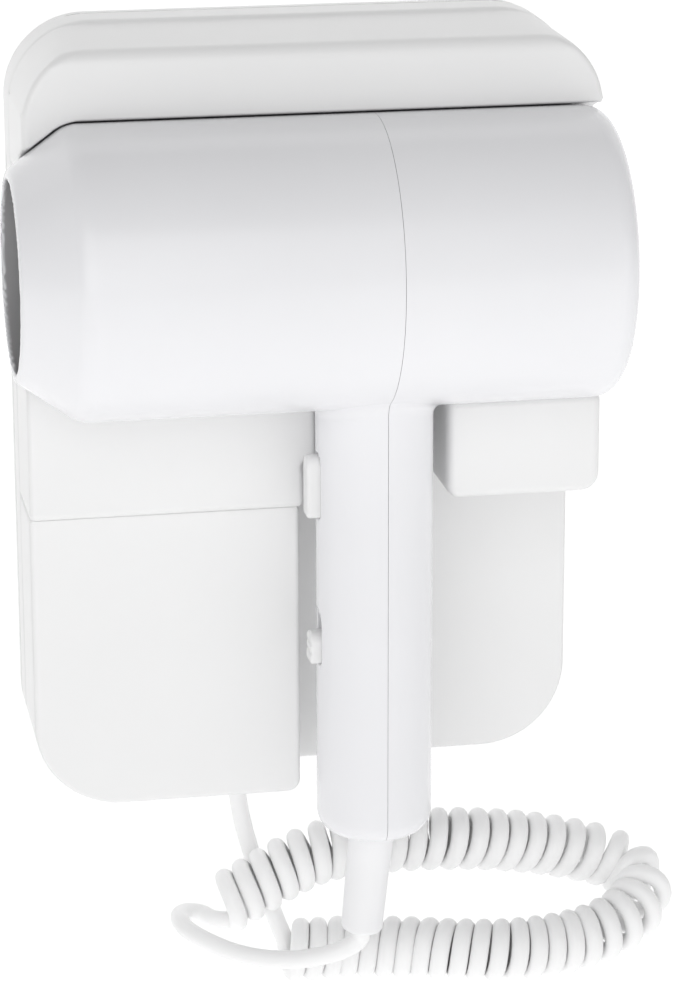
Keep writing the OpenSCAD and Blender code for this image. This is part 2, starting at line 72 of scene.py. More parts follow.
CLEARANCE, CRADLE_GAP = 0.5, 0.5
HOOD_FALL_FROM, HOOD_FALL_TO = 5.0, 46.0
NUB_LEFT, NUB_RIGHT, NUB_LOW = -20.0, 0.6, -9.8
NOTCH_X, NOTCH_Z, NOTCH_R = -0.6, -12.6, 2.6
SWITCH_X, PLUNGER_HOLE_R, PLUNGER_HOLE_D = 15.0, 2.2, 8.0
GLAND_HOLE_R, COVER_HOLE_R = 4.4, 1.8
BARREL_R, BARREL_D, BARREL_Z = 38.9, 55.5, 47.7
NOZZLE_R, NOZZLE_X, SHOULDER_X, TAIL_X, TAIL_FILLET = 27.5, -82.0, -66.0, 77.5, 6.0
GRILLE_X, GRILLE_T, GRILLE_RINGS, HUB_R = -74.0, 3.0, (8, 16, 23), 3.0
SLOT_PITCH, SLOT_R = 5.4, 1.3
SHELL_T, SPLIT_X, SEAM = 2.2, 15.0, 0.06
HANDLE_X, HANDLE_R, HANDLE_Z, HANDLE_CORNER = 14.2, 15.8, -113.0, 6.0
INLET_R, INLET_FROM_X, INLET_EDGE = 29.0, 60.0, 0.8
SHOULDER_EDGE, HANDLE_BLEND, MOUTH_EDGE, OPENING_EDGE = 1.6, 3.0, 0.9, 0.4
FRONT_WALL_X, BACK_WALL_X = 4.0, 24.0
FACE_X = HANDLE_X - HANDLE_R
BUTTON_Z, BUTTON_HALF, BUTTON_CORNERS, BUTTON_X = -13.4, (3.2, 8.6), (3, 3, 1.4, 1.4), FACE_X - 3.1
KNOB_Z, KNOB_HALF, KNOB_CORNERS, KNOB_X = -58.8, (3.4, 4.4), (3.2, 3.2, 1, 1), FACE_X - 2.4
KNOB_THROW, SLOT_GAP, BUTTON_GAP = 5.6, 0.4, 0.3
FLANGE_DEPTH, BUTTON_DEPTH, KNOB_DEPTH = 4.6, 5.8, 5.4
SKIRT_HALF, GROOVE_R = (5.4, 11.4), 0.6
SHELL_SCREWS, SHELL_SCREW_D, SHELL_SCREW_HOLE_R = (-32.0, -98.0), BARREL_D - 8.6, 2.6
COVER_SCREWS, COVER_SCREW_D = (-48.0, 48.0), 8.5
RELIEF_X, RELIEF_R, RELIEF_TIP_Z, RELIEF_LEAN = 13.6, 5.9, -143.5, 5.5
CORD_R, COIL_R = 2.6, 9.2
GLAND_X, GLAND_D = -17.0, 8.0

# ---------- camera, light and stage ----------

TARGET = (11.1, -20.7, -26.5)
DISTANCE, AZIMUTH, PITCH, ROLL = 1012.7, 10.39, 17.02, 0.13
LENS = 132.9
FLOOR_Z = -172.3
STAGE_GLOW, WORLD_GLOW = 0.43, 0.44


def aim(obj, location, target, roll=0.0):
    """Puts obj at location, looking at target, both in metres."""
    way = (Vector(target) - Vector(location)).normalized()
    turn = way.to_track_quat("-Z", "Y").to_matrix().to_4x4()
    obj.matrix_world = Matrix.Translation(location) @ turn @ Matrix.Rotation(roll, 4, "Z")


def add_camera():
    cam = bpy.data.cameras.new("camera")
    cam.sensor_width, cam.lens = 36.0, LENS
    cam.clip_start, cam.clip_end = 0.05, 20.0
    obj = bpy.data.objects.new("camera", cam)
    bpy.context.scene.collection.objects.link(obj)
    a, p = math.radians(AZIMUTH), math.radians(PITCH)
    back = (-math.sin(a) * math.cos(p), -math.cos(a) * math.cos(p), math.sin(p))
    place = [(t + DISTANCE * b) * MM for t, b in zip(TARGET, back)]
    aim(obj, place, [t * MM for t in TARGET], -math.radians(ROLL))
    bpy.context.scene.camera = obj


def add_light(name, place, target, size, power, colour=(1, 1, 1)):
    light = bpy.data.lights.new(name, "AREA")
    light.shape, light.size, light.energy, light.color = "SQUARE", size, power, colour
    obj = bpy.data.objects.new(name, light)
    bpy.context.scene.collection.objects.link(obj)
    aim(obj, place, target)


def add_world():
    world = bpy.data.worlds.new("world")
    world.use_nodes = True
    glow = world.node_tree.nodes["Background"]
    glow.inputs["Color"].default_value = (1, 1, 1, 1)
    glow.inputs["Strength"].default_value = WORLD_GLOW
    bpy.context.scene.world = world
    bpy.context.scene.view_settings.view_transform = "Standard"


def add_stage():
    """A pale floor under the cord that sweeps up into a backdrop well behind the holder."""
    half_width, front, back, bend, top, steps = 3.0, -3.0, 1.4, 0.3, 3.0, 8
    profile = [(front, FLOOR_Z * MM), (back - bend, FLOOR_Z * MM)]
    for i in range(1, steps + 1):
        t = math.radians(90 * i / steps)
        profile.append((back - bend + bend * math.sin(t), FLOOR_Z * MM + bend * (1 - math.cos(t))))
    profile.append((back, top))
    verts = [(x, y, z) for x in (-half_width, half_width) for y, z in profile]
    n = len(profile)
    mesh = bpy.data.meshes.new("stage")
    mesh.from_pydata(verts, [], [(i, i + 1, n + i + 1, n + i) for i in range(n - 1)])
    mesh.update()
    obj = bpy.data.objects.new("stage", mesh)
    bpy.context.scene.collection.objects.link(obj)
    paper = plain("stage_paper", (0.9, 0.9, 0.9), 0.9)
    shader = paper.node_tree.nodes["Principled BSDF"]
    shader.inputs["Emission Color"].default_value = (1, 1, 1, 1)
    shader.inputs["Emission Strength"].default_value = STAGE_GLOW
    obj.data.materials.append(paper)


# ---------- materials ----------


def plain(name, colour, roughness):
    material = bpy.data.materials.new(name)
    material.use_nodes = True
    shader = material.node_tree.nodes["Principled BSDF"]
    shader.inputs["Base Color"].default_value = (*colour, 1)
    shader.inputs["Roughness"].default_value = roughness
    return material


def plastic(name, colour, roughness, grain=900.0, bump=0.05, tint=0.03, metallic=0.0, coat=0.0):
    """Moulded plastic: a faint mottled tint, a fine moulded grain and uneven gloss."""
    material = plain(name, colour, roughness)
    nodes, links = material.node_tree.nodes, material.node_tree.links
    shader = nodes["Principled BSDF"]
    shader.inputs["Metallic"].default_value = metallic
    shader.inputs["Coat Weight"].default_value = coat
    shader.inputs["Coat Roughness"].default_value = 0.15
    place = nodes.new("ShaderNodeTexCoord")
    cloud = nodes.new("ShaderNodeTexNoise")
    cloud.inputs["Scale"].default_value = 14.0
    cloud.inputs["Detail"].default_value = 3.0
    links.new(place.outputs["Object"], cloud.inputs["Vector"])
    ramp = nodes.new("ShaderNodeValToRGB")
    low = [max(0.0, c * (1 - tint)) for c in colour]
    ramp.color_ramp.elements[0].position, ramp.color_ramp.elements[1].position = 0.3, 0.7
    ramp.color_ramp.elements[0].color = (*low, 1)
    ramp.color_ramp.elements[1].color = (*colour, 1)
    links.new(cloud.outputs["Fac"], ramp.inputs["Fac"])
    links.new(ramp.outputs["Color"], shader.inputs["Base Color"])
    gloss = nodes.new("ShaderNodeMapRange")
    gloss.inputs["To Min"].default_value = roughness * 0.85
    gloss.inputs["To Max"].default_value = min(1.0, roughness * 1.15)
    links.new(cloud.outputs["Fac"], gloss.inputs["Value"])
    links.new(gloss.outputs["Result"], shader.inputs["Roughness"])
    skin = nodes.new("ShaderNodeTexNoise")
    skin.inputs["Scale"].default_value = grain
    skin.inputs["Detail"].default_value = 2.0
    links.new(place.outputs["Object"], skin.inputs["Vector"])
    relief = nodes.new("ShaderNodeBump")
    relief.inputs["Strength"].default_value = bump
    relief.inputs["Distance"].default_value = 0.0002
    links.new(skin.outputs["Fac"], relief.inputs["Height"])
    links.new(relief.outputs["Normal"], shader.inputs["Normal"])
    return material


MATERIALS = {
    "housing": plastic("housing_abs", (0.88, 0.88, 0.88), 0.32, bump=0.06),
    "handset": plastic("handset_abs", (0.86, 0.86, 0.88), 0.24, bump=0.04, coat=0.2),
    "button": plastic("button_abs", (0.86, 0.86, 0.86), 0.35),
    "sleeve": plastic("sleeve_pvc", (0.9, 0.9, 0.91), 0.5, grain=1400.0),
    "cord": plastic("cord_pvc", (0.96, 0.96, 0.96), 0.4, grain=1400.0, bump=0.08),
    "steel": plastic("zinc_steel", (0.6, 0.6, 0.63), 0.3, metallic=1.0),
    "nylon": plastic("natural_nylon", (0.75, 0.75, 0.68), 0.5),
    "board": plastic("solder_mask", (0.03, 0.13, 0.05), 0.35),
    "relay_blue": plastic("relay_case", (0.03, 0.07, 0.3), 0.4),
    "black_plastic": plastic("black_nylon", (0.02, 0.02, 0.022), 0.5, tint=0.3),
    "plunger_red": plastic("red_acetal", (0.5, 0.03, 0.02), 0.35),
    "wire": plastic("silicone_wire", (0.15, 0.03, 0.02), 0.5),
    "mica": plastic("mica_sheet", (0.42, 0.32, 0.16), 0.5, grain=300.0, bump=0.3, tint=0.3),
    "nichrome": plastic("nichrome", (0.25, 0.23, 0.22), 0.35, metallic=1.0),
    "fuse": plastic("ceramic", (0.7, 0.66, 0.55), 0.5),
    "copper": plastic("copper_winding", (0.6, 0.27, 0.12), 0.35, metallic=1.0),
    "fan_grey": plastic("fan_nylon", (0.06, 0.06, 0.065), 0.45, tint=0.3),
    "filter_foam": plastic("filter_mesh", (0.08, 0.08, 0.085), 0.8, grain=1800.0, bump=0.8, tint=0.4),
}


def dress(obj, slot):
    obj.data.materials.clear()
    obj.data.materials.append(MATERIALS[slot])


def dress_frame():
    """Every CAD node takes the material of its own slot."""
    for part in frame["record"]["subparts"]:
        dress(frame["nodes"][part["node"]], part["material_slot"])


# ---------- solids from distance fields ----------
# A field is a function of x, depth and z in millimetres that is negative inside the solid.


def meet(a, b, r):
    """What a and b share, its edge rounded to radius r."""
    if r <= 0:
        return np.maximum(a, b)
    return np.minimum(-r, np.maximum(a, b)) + np.hypot(np.maximum(r + a, 0), np.maximum(r + b, 0))


def join(a, b, r):
    """a and b together, the corner between them filled to radius r."""
    if r <= 0:
        return np.minimum(a, b)
    return np.maximum(r, np.minimum(a, b)) - np.hypot(np.maximum(r - a, 0), np.maximum(r - b, 0))


def cut(a, b, r):
    """a less b, the new edge rounded to radius r."""
    return meet(a, -b, r)


def rounded(u, v, u0, u1, v0, v1, r):
    """Rounded rectangle; r is the radius at the corners (low u, high v), then clockwise."""
    left, up = u < (u0 + u1) / 2, v > (v0 + v1) / 2
    radius = np.where(left, np.where(up, r[0], r[3]), np.where(up, r[1], r[2]))
    a = np.abs(u - (u0 + u1) / 2) - (u1 - u0) / 2 + radius
    b = np.abs(v - (v0 + v1) / 2) - (v1 - v0) / 2 + radius
    return np.minimum(np.maximum(a, b), 0) + np.hypot(np.maximum(a, 0), np.maximum(b, 0)) - radius


def barrel_axis(d, z):
    return np.hypot(d - BARREL_D, z - BARREL_Z)


CONE_SLOPE = (BARREL_R - NOZZLE_R) / (SHOULDER_X - NOZZLE_X)


def barrel_form(x, d, z, g, shoulder=2.0):
    """The endless barrel and nozzle cone, grown by g."""
    rho = barrel_axis(d, z)
    cone = (rho - NOZZLE_R - (x - NOZZLE_X) * CONE_SLOPE) / math.hypot(1, CONE_SLOPE) - g
    return meet(rho - BARREL_R - g, cone, shoulder)


def base_outline(x, z, inset=0.0):
    r = [TOP_R - inset, TOP_R - inset, BOTTOM_R - inset, BOTTOM_R - inset]
    w, h = BASE_W / 2 - inset, BASE_H / 2 - inset
    return rounded(x, z, -w, w, -h, h, r)


def hood_form(x, d, z, i):
    w, h = BASE_W / 2 - i, BASE_H / 2 - i
    outline = rounded(x, z, -w, w, HOOD_Z + i, h, [TOP_R - i, TOP_R - i, 0.5, 0.5])
    fall = (BASE_H / 2 - HOOD_FRONT_Z) / (HOOD_FALL_TO - HOOD_FALL_FROM)
    top = (z - (BASE_H / 2 - fall * (d - HOOD_FALL_FROM)) + i) / math.hypot(1, fall)
    return meet(outline, meet(top, d - HOOD_D + i, HOOD_CREST), HOOD_EDGE)


def front_cover(x, d, z):
    """The flat panel and the hood, one hollow moulding with holes for plunger, gland and screws."""
    panel = meet(base_outline(x, z), d - PANEL_D, PANEL_EDGE)
    hood = cut(hood_form(x, d, z, 0.0), barrel_form(x, d, z, CLEARANCE), LIP_EDGE)
    outer = join(panel, hood, HOOD_FOOT)
    hollow = meet(base_outline(x, z, WALL), d - PANEL_D + WALL, INNER_EDGE)
    hood_hollow = cut(hood_form(x, d, z, WALL), barrel_form(x, d, z, CLEARANCE + WALL), INNER_EDGE)
    solid = cut(outer, join(hollow, hood_hollow, INNER_EDGE), 0.0)
    solid = np.maximum(solid, PLATE_T + PLATE_GAP - d)
    plunger = np.maximum(np.hypot(x - SWITCH_X, z - BARREL_Z) - PLUNGER_HOLE_R, PLUNGER_HOLE_D - d)
    holes = np.hypot(x - GLAND_X, d - GLAND_D) - GLAND_HOLE_R
    for screw_x in COVER_SCREWS:
        holes = np.minimum(holes, np.hypot(x - screw_x, d - COVER_SCREW_D) - COVER_HOLE_R)
    holes = np.maximum(holes, z + BASE_H / 2 - WALL - 1)
    return cut(solid, np.minimum(plunger, holes), HOLE_EDGE)


def switch_box(x, d, z):
    low = -BASE_H / 2
    corners = [SQUARE, SQUARE, BOX_CORNER, BOTTOM_R]
    inner_corners = [SQUARE, SQUARE, 1.2, BOTTOM_R - WALL]
    outline = rounded(x, z, -BASE_W / 2, BOX_RIGHT, low, BOX_TOP + PAST_SEAM, corners)
    inner = rounded(x, z, -BASE_W / 2 + WALL, BOX_RIGHT - WALL, low + WALL, BOX_TOP - WALL, inner_corners)
    outer = np.maximum(meet(outline, d - BOX_D, BOX_EDGE), z - BOX_TOP + BOX_GAP)
    return np.maximum(cut(outer, meet(inner, d - BOX_D + WALL, INNER_EDGE), 0.0), PANEL_D + PANEL_GAP - d)


def left_cradle(x, d, z):
    """The block above the switch box; its nub and notch stand on the right edge."""
    outline = rounded(x, z, -BASE_W / 2, BOX_RIGHT + 0.8, BOX_TOP - PAST_SEAM, LEFT_TOP, [3, 4, 1.2, SQUARE])
    nub = rounded(x, z, NUB_LEFT, NUB_RIGHT, NUB_LOW, LEFT_TOP, [SQUARE, 3, 3, SQUARE])
    outline = join(outline, nub, 2.0)
    outline = cut(outline, np.hypot(x - NOTCH_X, z - NOTCH_Z) - NOTCH_R, 0.8)
    block = meet(meet(d - LEFT_D, z - LEFT_TOP, LEFT_CROWN), BOX_TOP - z, LEFT_FOOT)
    solid = meet(outline, block, LEFT_EDGE)
    return np.maximum(cut(solid, barrel_form(x, d, z, CRADLE_GAP), CRADLE_EDGE), PANEL_D + PANEL_GAP - d)


def right_cradle(x, d, z):
    outline = rounded(x, z, RIGHT_X, BASE_W / 2, *RIGHT_Z, [4, 6, 5, 4])
    block = meet(meet(d - RIGHT_D, z - RIGHT_Z[1], RIGHT_CROWN), RIGHT_X - RIGHT_INSET - x, RIGHT_SIDE)
    solid = meet(outline, block, RIGHT_EDGE)
    return np.maximum(cut(solid, barrel_form(x, d, z, CRADLE_GAP), CRADLE_EDGE), PANEL_D + PANEL_GAP - d)


def handle_form(x, d, z, s):
    round_part = np.hypot(x - HANDLE_X, d - BARREL_D) - HANDLE_R + s
    return meet(round_part, HANDLE_Z + s - z, HANDLE_CORNER - s / 2)


def control_outline(d, z, middle_z, half, corners, g, throw=0.0):
    """Rounded rectangle on the handle's face, grown by g and stretched upwards by throw."""
    low, high = middle_z - half[1] - g, middle_z + half[1] + throw + g
    return rounded(d, z, BARREL_D - half[0] - g, BARREL_D + half[0] + g, low, high, [r + g for r in corners])


def button_outline(d, z, g):
    return control_outline(d, z, BUTTON_Z, BUTTON_HALF, BUTTON_CORNERS, g)


def knob_outline(d, z, g, throw=0.0):
    return control_outline(d, z, KNOB_Z, KNOB_HALF, KNOB_CORNERS, g, throw)


def button(x, d, z):
    """A rounded cap with a flange that stays behind the handle's wall."""
    cap = meet(button_outline(d, z, 0.0), BUTTON_X - x, 1.0)
    flange = np.maximum(button_outline(d, z, 0.9), FACE_X + FLANGE_DEPTH - x)
    return np.maximum(np.minimum(cap, flange), x - FACE_X - BUTTON_DEPTH)


def knob(x, d, z):
    """A thumb knob with two grip grooves across its face."""
    cap = meet(knob_outline(d, z, 0.0), KNOB_X - x, 0.9)
    for groove_z in (KNOB_Z - 1.3, KNOB_Z + 1.3):
        cap = cut(cap, np.hypot(x - KNOB_X + 0.25, z - groove_z) - GROOVE_R, 0.25)
    skirt = np.maximum(np.abs(d - BARREL_D) - SKIRT_HALF[0], np.abs(z - KNOB_Z) - SKIRT_HALF[1])
    skirt = np.maximum(skirt, FACE_X + FLANGE_DEPTH - x)
    return np.maximum(np.minimum(cap, skirt), x - FACE_X - KNOB_DEPTH)


def handset_shells(x, d, z):
    """Both shells in one piece: barrel, nozzle and handle, with every opening cut through the wall."""
    outer = meet(barrel_form(x, d, z, 0.0, SHOULDER_EDGE), x - TAIL_X, TAIL_FILLET)
    inner = meet(barrel_form(x, d, z, -SHELL_T, SHOULDER_EDGE), x - TAIL_X + SHELL_T, TAIL_FILLET - 1)
    outer = join(outer, np.maximum(handle_form(x, d, z, 0.0), z - BARREL_Z), HANDLE_BLEND)
    inner = join(inner, np.maximum(handle_form(x, d, z, SHELL_T), z - BARREL_Z), HANDLE_BLEND)
    solid = cut(meet(outer, NOZZLE_X - x, MOUTH_EDGE), inner, MOUTH_EDGE)
    inlet = np.maximum(barrel_axis(d, z) - INLET_R, INLET_FROM_X - x)
    solid = cut(solid, inlet, INLET_EDGE)
    openings = np.minimum(button_outline(d, z, BUTTON_GAP), knob_outline(d, z, SLOT_GAP, KNOB_THROW))
    solid = cut(solid, np.maximum(openings, x - FRONT_WALL_X), OPENING_EDGE)
    for screw_z in SHELL_SCREWS:
        hole = np.hypot(d - SHELL_SCREW_D, z - screw_z) - SHELL_SCREW_HOLE_R
        solid = cut(solid, np.maximum(hole, BACK_WALL_X - x), OPENING_EDGE)
    relief = np.maximum(np.hypot(x - RELIEF_X, d - BARREL_D) - RELIEF_R - 0.5, z - HANDLE_Z - 5)
    return cut(solid, relief, OPENING_EDGE)


def relief_form(x, d, z):
    """The sleeve: a collar inside the handle and a leaning tube with a rounded mouth."""
    lean = math.radians(RELIEF_LEAN)
    along = (x - RELIEF_X) * -math.sin(lean) - (z - HANDLE_Z) * math.cos(lean)
    off = (x - RELIEF_X) * math.cos(lean) - (z - HANDLE_Z) * math.sin(lean)
    rho = np.hypot(off, d - BARREL_D)
    length = (HANDLE_Z - RELIEF_TIP_Z) / math.cos(lean)
    tube = meet(rho - RELIEF_R - 0.35 + along * 0.016, along - length, 1.4)
    tube = np.maximum(tube, -along - 1)
    straight = np.hypot(x - RELIEF_X, d - BARREL_D)
    collar = np.maximum(straight - RELIEF_R - 0.3, np.maximum(HANDLE_Z - 1 - z, z - HANDLE_Z - 7.5))
    flange = np.maximum(straight - RELIEF_R - 2.2, np.abs(z - HANDLE_Z - 5) - 2.5)
    bore = np.minimum(np.maximum(rho, -along - 2), np.maximum(straight, HANDLE_Z - z)) - CORD_R - 0.05
    return cut(np.minimum(np.minimum(tube, collar), flange), bore, 0.4)


def gland_form(x, d, z):
    """A ribbed cone below the cover, its neck and its inner flange."""
    low = -BASE_H / 2
    rho = np.hypot(x - GLAND_X, d - GLAND_D)
    cone = rho - 4.3 + (low - z) * 0.06 + 0.25 * np.cos((z - low) * 2 * np.pi / 2.2)
    cone = meet(cone, np.maximum(low - 10 - z, z - low), 0.5)
    rim = meet(rho - 5.6, np.maximum(low - 1.2 - z, z - low + 0.05), 0.4)
    neck = np.maximum(rho - 4.35, np.maximum(low - 1 - z, z - low - 3.8))
    flange = np.maximum(rho - 4.75, np.maximum(low + 2.45 - z, z - low - 3.8))
    return cut(np.minimum(np.minimum(cone, rim), np.minimum(neck, flange)), rho - CORD_R - 0.05, 0.3)


def inlet_guard(x, d, z):
    """A disc with round-ended slots across it."""
    disc = meet(barrel_axis(d, z) - INLET_R + 0.1, np.maximum(x - TAIL_X + 0.6, TAIL_X - 3.2 - x), 0.5)
    for i in range(-4, 5):
        rise = SLOT_PITCH * i
        reach = math.sqrt((INLET_R - 4) ** 2 - rise ** 2) - SLOT_R
        slot = np.hypot(np.maximum(np.abs(d - BARREL_D) - reach, 0), z - BARREL_Z - rise) - SLOT_R
        disc = cut(disc, slot, 0.5)
    return disc


def outlet_guard(x, d, z):
    """Three rings, a hub and eight bars inside the nozzle's mouth."""
    rho, middle = barrel_axis(d, z), GRILLE_X + GRILLE_T / 2
    rim = NOZZLE_R - SHELL_T + (GRILLE_X - NOZZLE_X) * CONE_SLOPE - 0.6
    form = meet(np.abs(rho - rim + 0.8) - 1.2, np.abs(x - middle) - GRILLE_T / 2, 0.3)
    for r in GRILLE_RINGS:
        form = join(form, meet(np.abs(rho - r) - 0.8, np.abs(x - middle) - 1, 0.3), 0.4)
    form = join(form, meet(rho - HUB_R, np.abs(x - middle) - 1.2, 0.4), 0.4)
    for i in range(4):
        a = math.radians(45 * i)
        off = (d - BARREL_D) * math.cos(a) + (z - BARREL_Z) * math.sin(a)
        bar = meet(np.abs(off) - 0.7, np.maximum(np.abs(x - middle) - 1.1, rho - rim + 0.5), 0.3)
        form = join(form, bar, 0.4)
    return form


def cover_screw_heads(x, d, z):
    """Domed heads with a cross recess, under the bottom edge of the cover."""
    form = np.full(np.broadcast(x, d, z).shape, 99.0)
    for screw_x in COVER_SCREWS:
        u, v, top = x - screw_x, d - COVER_SCREW_D, -BASE_H / 2 - z
        rho = np.hypot(u, v)
        head = np.maximum(rho - 3, np.maximum(-top, np.sqrt(rho ** 2 + (top + 3.2) ** 2) - 4.6))
        across, along = np.abs(u), np.abs(v)
        cross = np.minimum(np.maximum(across - 0.35, along - 1.7), np.maximum(along - 0.35, across - 1.7))
        head = np.maximum(head, -np.maximum(cross, 0.5 - top))
        shank = np.maximum(rho - 1.5, np.maximum(top, -top - 12))
        form = np.minimum(form, np.minimum(head, shank))
    return form


CORNERS = [(i, j, k) for i in (0, 1) for j in (0, 1) for k in (0, 1)]
EDGES = [(a, b) for a in CORNERS for b in CORNERS if a < b and sum(abs(p - q) for p, q in zip(a, b)) == 1]


def surface_net(field, low, high, step):
    """Vertices and quads of the field's zero surface on a grid, in millimetres."""
    axes = [np.arange(lo - 2 * step, hi + 2.5 * step, step, np.float32) for lo, hi in zip(low, high)]
    value = field(*np.meshgrid(*axes, indexing="ij")).astype(np.float32)
    inside = value < 0
    size = [n - 1 for n in value.shape]

    def corner(array, c):
        return array[tuple(slice(o, o + n) for o, n in zip(c, size))]

    count = sum(corner(inside, c).astype(np.int8) for c in CORNERS)
    cell = np.argwhere((count > 0) & (count < 8))
    number = np.full(size, -1, np.int64)
    number[tuple(cell.T)] = np.arange(len(cell))
    total, crossings = np.zeros((len(cell), 3)), np.zeros(len(cell))
    for a, b in EDGES:
        va, vb = (value[tuple((cell + c).T)].astype(float) for c in (a, b))
        crossed = (va < 0) != (vb < 0)
        t = np.where(crossed, va / np.where(crossed, va - vb, 1), 0)[:, None]
        total += np.where(crossed[:, None], np.array(a) + t * (np.array(b) - np.array(a)), 0)
        crossings += crossed
    start = np.array([a[0] for a in axes])
    points = start + (cell + total / crossings[:, None]) * step
    quads = []
    for axis in range(3):
        one, two = (axis + 1) % 3, (axis + 2) % 3
        near = [slice(1, -1)] * 3
        near[axis] = slice(0, -1)
        far = list(near)
        far[axis] = slice(1, None)
        here, there = inside[tuple(near)], inside[tuple(far)]
        at = np.argwhere(here != there) + [0 if i == axis else 1 for i in range(3)]
        outward = inside[tuple(at.T)]
        ring = []
        for p, q in ((1, 1), (0, 1), (0, 0), (1, 0)):
            shift = np.zeros(3, int)
            shift[one], shift[two] = p, q
            ring.append(number[tuple((at - shift).T)])
        ring = np.stack(ring, 1)
        quads.append(np.where(outward[:, None], ring, ring[:, ::-1]))
    return points, np.concatenate(quads)


def gradient(field, points, reach=0.02):
    parts = []
    for axis in range(3):
        step = np.zeros(3)
        step[axis] = reach
        parts.append((field(*(points + step).T) - field(*(points - step).T)) / (2 * reach))
    return np.stack(parts, 1)


def settle(field, points, quads, step, rounds=3):
    """Evens the mesh out along the surface and puts every vertex on the surface."""
    ends = np.concatenate([quads[:, [i, (i + 1) % 4]] for i in range(4)])
    for r in range(rounds):
        if r:
            total = np.zeros_like(points)
            for axis in range(3):
                total[:, axis] = np.bincount(ends[:, 0], points[ends[:, 1], axis], len(points))
            share = np.bincount(ends[:, 0], minlength=len(points))[:, None]
            points = points + 0.5 * (total / share - points)
        for _ in range(3):
            slope = gradient(field, points)
            move = (field(*points.T) / np.maximum((slope ** 2).sum(1), 0.25))[:, None] * slope
            points = points - np.clip(move, -0.4 * step, 0.4 * step)
    return points


def solid(name, field, low, high, step, body, slot, nodes):
    """A smooth mesh of a field, riding on body and standing for CAD nodes."""
    obj = mesh_object(name, *surface(field, low, high, step))
    true_normals(obj.data, field)
    finish_piece(obj, body, slot, nodes)
    return obj


def surface(field, low, high, step):
    points, quads = surface_net(field, low, high, step)
    points = settle(field, points, quads, step)
    return points * FLIP * MM, quads[:, ::-1]


FLIP = np.array([1, -1, 1])


def true_normals(mesh, field, caps=()):
    """Shades a mesh with its field's own normals, apart from the flat faces in caps."""
    spots = np.empty(len(mesh.vertices) * 3, np.float32)
    mesh.vertices.foreach_get("co", spots)
    slope = gradient(field, spots.reshape(-1, 3).astype(float) * FLIP / MM)
    slope = slope / np.maximum(np.linalg.norm(slope, axis=1), 1e-9)[:, None] * FLIP
    of_loop = np.empty(len(mesh.loops), np.int32)
    mesh.loops.foreach_get("vertex_index", of_loop)
    normals = slope[of_loop]
    for i in caps:
        face = mesh.polygons[i]
        normals[face.loop_start : face.loop_start + face.loop_total] = face.normal
    mesh.normals_split_custom_set(normals)


def half(name, whole, field, cut_x, keep, body, slot, nodes):
    """The part of a mesh on one side of the plane x = cut_x, closed with a flat face."""
    work = bmesh.new()
    work.from_mesh(whole)
    found = bmesh.ops.bisect_plane(work, geom=work.verts[:] + work.edges[:] + work.faces[:], dist=1e-7,
                                   plane_co=(cut_x * MM, 0, 0), plane_no=(-keep, 0, 0), clear_outer=True)
    edges = [e for e in found["geom_cut"] if isinstance(e, bmesh.types.BMEdge)]
    fill = bmesh.ops.triangle_fill(work, use_beauty=True, use_dissolve=False, edges=edges)
    flat = {f for f in fill["geom"] if isinstance(f, bmesh.types.BMFace)}
    for face in flat:
        face.smooth = False
    bmesh.ops.recalc_face_normals(work, faces=work.faces[:])
    work.faces.index_update()
    caps = sorted(f.index for f in flat)
    mesh = bpy.data.meshes.new(name)
    work.to_mesh(mesh)
    work.free()
    true_normals(mesh, field, caps)
    obj = bpy.data.objects.new(name, mesh)
    bpy.context.scene.collection.objects.link(obj)
    finish_piece(obj, body, slot, nodes)
    return obj


def mesh_object(name, points, faces):
    mesh = bpy.data.meshes.new(name)
    count, sides = len(faces), len(faces[0])
    mesh.vertices.add(len(points))
    mesh.vertices.foreach_set("co", np.asarray(points, np.float32).ravel())
    mesh.loops.add(count * sides)
    mesh.loops.foreach_set("vertex_index", np.asarray(faces, np.int32).ravel())
    mesh.polygons.add(count)
    mesh.polygons.foreach_set("loop_start", np.arange(count, dtype=np.int32) * sides)
    mesh.polygons.foreach_set("use_smooth", np.ones(count, bool))
    mesh.update(calc_edges=True)
    mesh.validate()
    obj = bpy.data.objects.new(name, mesh)
    bpy.context.scene.collection.objects.link(obj)
    return obj


def finish_piece(obj, body, slot, nodes):
    dress(obj, slot)
    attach(obj, body)
    if nodes:
        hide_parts(*nodes)


# ---------- cords ----------


def smooth_route(points, per_span):
    """A smooth line through listed points."""
    p = np.array(points, float)
    p = np.vstack([2 * p[0] - p[1], p, 2 * p[-1] - p[-2]])
    out = []
    for i in range(1, len(p) - 2):
        for t in np.arange(per_span) / per_span:
            a, b, c, e = p[i - 1 : i + 3]
            out.append(0.5 * (2 * b + (c - a) * t + (2 * a - 5 * b + 4 * c - e) * t * t
                              + (3 * b - a - 3 * c + e) * t ** 3))
    out.append(p[-2])
    return np.array(out)


def lengths(line):
    return np.concatenate([[0], np.cumsum(np.linalg.norm(np.diff(line, axis=0), axis=1))])


def at(line, s):
    run = lengths(line)
    return np.stack([np.interp(s, run, line[:, i]) for i in range(3)], -1)


def to_frame(route):
    return [(x, -d, z) for x, d, z in route]


